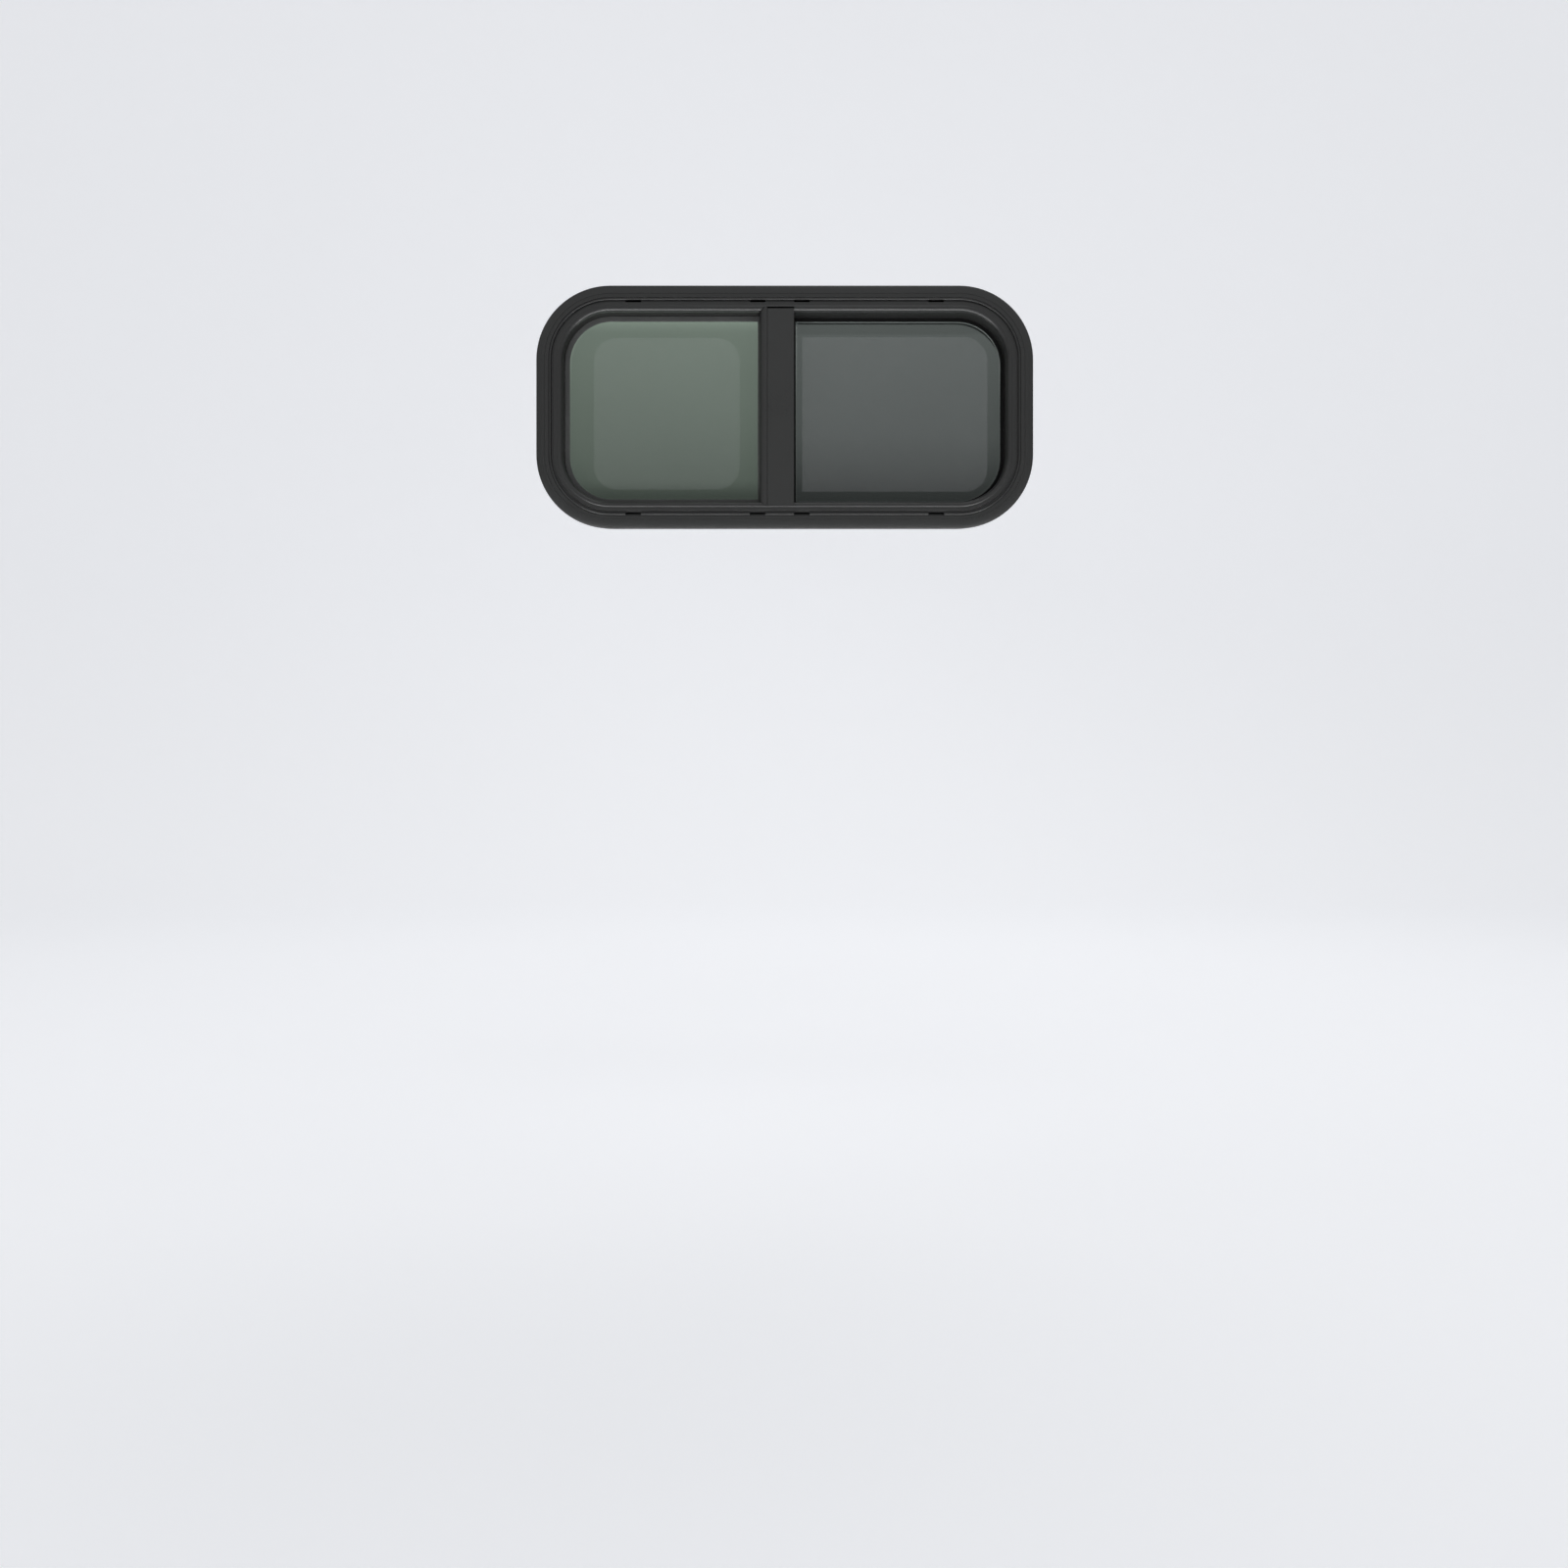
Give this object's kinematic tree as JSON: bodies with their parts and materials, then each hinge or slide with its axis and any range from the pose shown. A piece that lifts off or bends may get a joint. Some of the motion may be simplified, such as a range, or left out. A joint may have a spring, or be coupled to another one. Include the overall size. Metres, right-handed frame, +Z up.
{
  "type": "caravan window",
  "caption": "Horizontal sliding caravan window with a black round-cornered frame, a fixed and a sliding tinted pane, a centre mullion, a clamp ring and an insect screen.",
  "frame": {"origin": "middle of the lower side of the flange, on its flat back face that lies on the wall", "axes": "+X to the right seen from outside, +Y through the wall to the inside, +Z up"},
  "size_m": [0.9, 0.0639, 0.44],
  "materials": {
    "frame_paint": "satin black powder coat",
    "inner_paint": "matt black powder coat",
    "rubber": "matt",
    "green_glass": "green tinted, polished",
    "grey_glass": "dark grey tinted, polished",
    "screw_steel": "stainless",
    "black_plastic": "fine grained",
    "white_nylon": "matt",
    "mesh_wire": "black wire mesh"
  },
  "bodies": {
    "root": {"main_frame": "frame_paint", "flange_seal": "rubber", "mullion": "frame_paint", "mullion_bead": "frame_paint", "mullion_top_seal": "rubber", "fixed_glass": "green_glass", "fixed_gasket": "rubber", "sliding_glass": "grey_glass", "meeting_stile": "inner_paint", "meeting_pile": "rubber", "top_run": "rubber", "bottom_run": "rubber", "jamb_seal": "rubber", "sash_glides": "white_nylon", "stop_bumpers": "rubber", "pocket_liner": "inner_paint", "clamp_ring": "inner_paint", "clamp_screws": "screw_steel", "finger_pull": "black_plastic", "pull_screws": "screw_steel", "latch_body": "black_plastic", "latch_knob": "screw_steel", "latch_bolt": "screw_steel", "latch_keeper": "screw_steel", "screen_top_rail": "inner_paint", "screen_bottom_rail": "inner_paint", "screen_rail_rivets": "screw_steel", "screen_frame": "inner_paint", "screen_mesh": "mesh_wire", "screen_spline": "rubber", "screen_tab": "black_plastic"}
  },
  "joints": []
}
